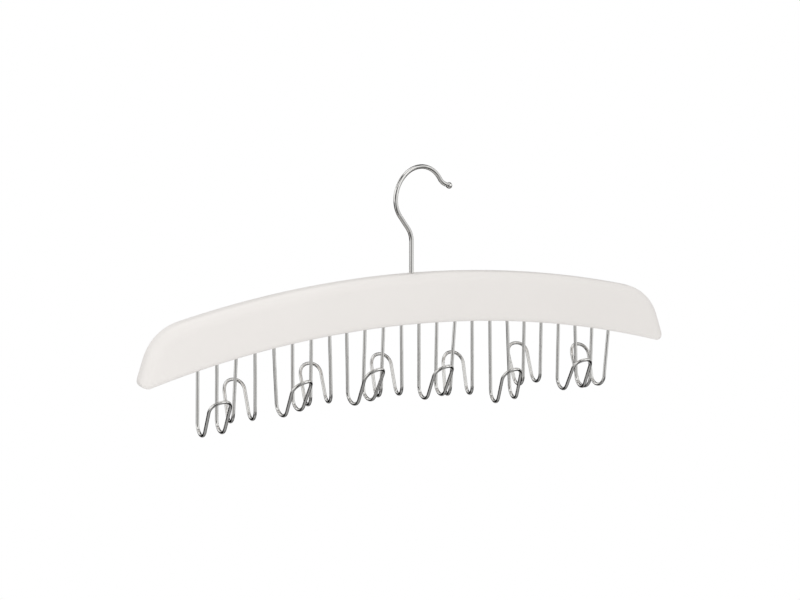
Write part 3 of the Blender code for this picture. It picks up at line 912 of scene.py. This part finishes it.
# %% The cards
# Each card has its azimuth, elevation and half width in degrees, its softness and its strength. Azimuth
# 0 is towards the bar's front and 90 towards its right end. The mirror cards were placed by where the
# photograph's wires are bright and dark, and what each one stands for is a guess.
EVEN_LIGHT = 0.545
EVEN_CARDS = (
    (90, 78, 60, 0.20, 0.47),       # white ceiling, a little to the right
    (340, 10, 40, 0.20, -0.08),     # darker room behind the camera
    (180, 10, 50, 0.20, 0.25),      # pale wall behind the bar
)
MIRROR_LIGHT = 0.40
MIRROR_CARDS = (
    (43, 21, 36, 0.082, 0.95),      # bright wall to the right of the camera
    (96, 7, 36, 0.082, 0.20),       # its end, further round
    (257, 21, 36, 0.082, 1.26),     # bright wall at the left
    (311, 35, 16, 0.032, 1.17),     # window high at the left
    (216, 77, 24, 0.032, 0.99),     # lamps under the ceiling
    (120, 70, 16, 0.032, 0.76),     # a smaller lamp beside them
    (0, 63, 36, 0.082, 0.06),       # the ceiling's front part
    (264, 49, 24, 0.032, -1.55),    # dark edge of the ceiling above the left wall
    (84, 49, 16, 0.032, -0.59),     # and above the right one
    (197, 21, 24, 0.032, 0.48),     # pale screen behind the bar
    (168, 7, 36, 0.082, -0.32),     # shade round that screen
    (142, 42, 24, 0.032, -0.74),    # the dark corner above it
    (200, -7, 16, 0.032, -0.37),    # the screen's foot
    (319, 14, 16, 0.032, -2.23),    # the camera and the dark room round it
    (304, 0, 16, 0.032, -0.45),     # that room's left part, lower down
    (352, 0, 16, 0.032, 0.12),      # pale gap beside the camera
    (56, 0, 10, 0.012, -1.57),      # dark lamp stand at the right
    (64, -7, 10, 0.012, 0.82),      # pale foot of the right wall
    (291, -21, 16, 0.032, 0.63),    # pale table edge at the left
    (257, -21, 16, 0.032, -0.66),   # dark floor at the left
    (321, -35, 16, 0.032, -1.64),   # dark floor below the camera
    (49, -35, 16, 0.032, -0.48),    # dark floor at the right
    (81, -28, 16, 0.032, -0.51),    # and further round
    (120, -42, 24, 0.032, -0.47),   # dark floor behind the right end
    (224, -35, 24, 0.032, -0.49),   # dark floor behind the left end
    (180, -77, 24, 0.032, -0.14),   # the object's own shadow
)
BRIGHTEST_WALL = 1.25    # no sum of cards gets brighter than this
print("the world has", len(EVEN_CARDS) + len(MIRROR_CARDS), "cards")

# %% The world
world = bpy.data.worlds.new("Studio")
bpy.context.scene.world = world
world.use_nodes = True
sky = world.node_tree
direction = add_node(sky, "ShaderNodeTexCoord").outputs["Generated"]


def facing(azimuth, elevation):
    turn, rise = math.radians(azimuth), math.radians(elevation)
    return (math.sin(turn) * math.cos(rise), -math.cos(turn) * math.cos(rise), math.sin(rise))


def add_cards(label, level, cards):
    """The light of all the cards over an even level, kept between nothing and the brightest wall."""
    light = level
    for azimuth, elevation, half_width, softness, strength in cards:
        card = add_node(sky, "ShaderNodeGroup", node_tree=card_group)
        set_inputs(sky, card, {"Direction": direction, "Facing": facing(azimuth, elevation),
                               "Edge": math.cos(math.radians(half_width)), "Softness": softness,
                               "Strength": strength})
        total = add_node(sky, "ShaderNodeMath", label, operation="ADD")
        set_inputs(sky, total, {0: light, 1: card.outputs["Light"]})
        light = total.outputs[0]
    lit = add_node(sky, "ShaderNodeClamp", label)
    set_inputs(sky, lit, {"Value": light, "Min": 0.0, "Max": BRIGHTEST_WALL})
    return lit.outputs[0]


def choose(label, kind_of_ray, otherwise, then):
    """One light for rays of a kind, and another for all the rest."""
    node = add_node(sky, "ShaderNodeMix", label, data_type="FLOAT")
    set_inputs(sky, node, {"Factor": kind_of_ray, MIX_NUMBERS[0]: otherwise, MIX_NUMBERS[1]: then})
    return node.outputs[0]


rays = add_node(sky, "ShaderNodeLightPath").outputs
light = choose("what mirrors see", rays["Is Glossy Ray"], add_cards("even", EVEN_LIGHT, EVEN_CARDS),
               add_cards("mirror", MIRROR_LIGHT, MIRROR_CARDS))
seen = choose("plain white for the camera", rays["Is Camera Ray"], light, 1.0)
set_inputs(sky, sky.nodes["Background"], {"Color": (1, 1, 1, 1), "Strength": seen})
print("the world's network has", len(sky.nodes), "nodes")

# %% [markdown]
# One large soft lamp from the front left gives the bar its slow fall of light from left to right. The
# floor lies far below, since the hanger hangs. It glows a little, as a lit table does, which lightens
# the bar's lower edge, and it fades to the white of the background away from the middle.

# %% Lamp
CAMERA_AIM = Vector((-0.00954, 0, -0.09717))    # the point at the middle of the picture
LAMP_PLACE = (-0.8, -1.0, 0.4)


def aim(thing, place):
    """Puts a lamp or a camera at a place and turns it towards the bar."""
    thing.location = place
    thing.rotation_euler = (CAMERA_AIM - thing.location).to_track_quat("-Z", "Y").to_euler()
    bpy.context.scene.collection.objects.link(thing)


key = bpy.data.lights.new("key", "AREA")
key.shape = "DISK"
key.size = 0.8
key.energy = 4.4
key_lamp = bpy.data.objects.new("key", key)
key_lamp.visible_glossy = False    # mirrors see the world's bright walls instead
aim(key_lamp, LAMP_PLACE)
print("the lamp gives", round(key.energy, 1), "W")

# %% Floor
FLOOR_Z = -2.2
FLOOR_HALF_SIZE = 15
FLOOR_GLOW = 0.10
FADE_FROM, FADE_TO = 1.0, 2.3    # distances from the middle


def make_floor():
    bm = bmesh.new()
    bmesh.ops.create_grid(bm, x_segments=1, y_segments=1, size=FLOOR_HALF_SIZE)
    for vert in bm.verts:
        vert.co.z = FLOOR_Z
    material, tree, shader = start_material("Pale floor")
    set_inputs(tree, shader, {"Base Color": (0.95, 0.95, 0.95, 1), "Roughness": 0.8,
                              "Emission Color": (1, 1, 1, 1), "Emission Strength": FLOOR_GLOW})
    place = add_node(tree, "ShaderNodeTexCoord").outputs["Object"]
    distance = add_node(tree, "ShaderNodeVectorMath", "from the middle", operation="LENGTH")
    set_inputs(tree, distance, {0: stretched(tree, "level", place, (1, 1, 0))})
    fade = add_node(tree, "ShaderNodeMapRange", "fade", interpolation_type="SMOOTHSTEP")
    set_inputs(tree, fade, {"Value": distance.outputs["Value"], "From Min": FADE_FROM,
                            "From Max": FADE_TO})
    rays = add_node(tree, "ShaderNodeLightPath").outputs
    faded = add_node(tree, "ShaderNodeMath", "only for the camera", operation="MULTIPLY")
    set_inputs(tree, faded, {0: fade.outputs[0], 1: rays["Is Camera Ray"]})
    white = add_node(tree, "ShaderNodeEmission")
    mix = add_node(tree, "ShaderNodeMixShader")
    set_inputs(tree, mix, {0: faded.outputs[0], 1: shader.outputs[0], 2: white.outputs[0]})
    set_inputs(tree, tree.nodes["Material Output"], {"Surface": mix.outputs[0]})
    return finish_mesh("floor", bm, material)


floor = make_floor()
floor.visible_glossy = False    # mirrors see the world's dark floor cards instead
print("the floor lies", -FLOOR_Z, "m below the origin")

# %% [markdown]
# ## The camera
#
# The photograph was taken from the left front, a little above the bar, with a long lens. The camera's
# place and focal length were fitted to the bar's outline and the wires' spacing. The angle to the side
# is the loosest of them: 16 to 28 degrees fit nearly alike, and 25 gives the bar its usual thickness.

# %% Camera
CAMERA_PLACE = Vector((-0.7609, -1.6114, 0.2327))
camera = bpy.data.cameras.new("camera")
camera.sensor_width = 36
camera.lens = 107.48
camera.clip_end = 100
camera_object = bpy.data.objects.new("camera", camera)
aim(camera_object, CAMERA_PLACE)
bpy.context.scene.camera = camera_object
bpy.context.scene.view_settings.view_transform = "Standard"
print("the camera stands", round((CAMERA_AIM - CAMERA_PLACE).length, 2), "m away")
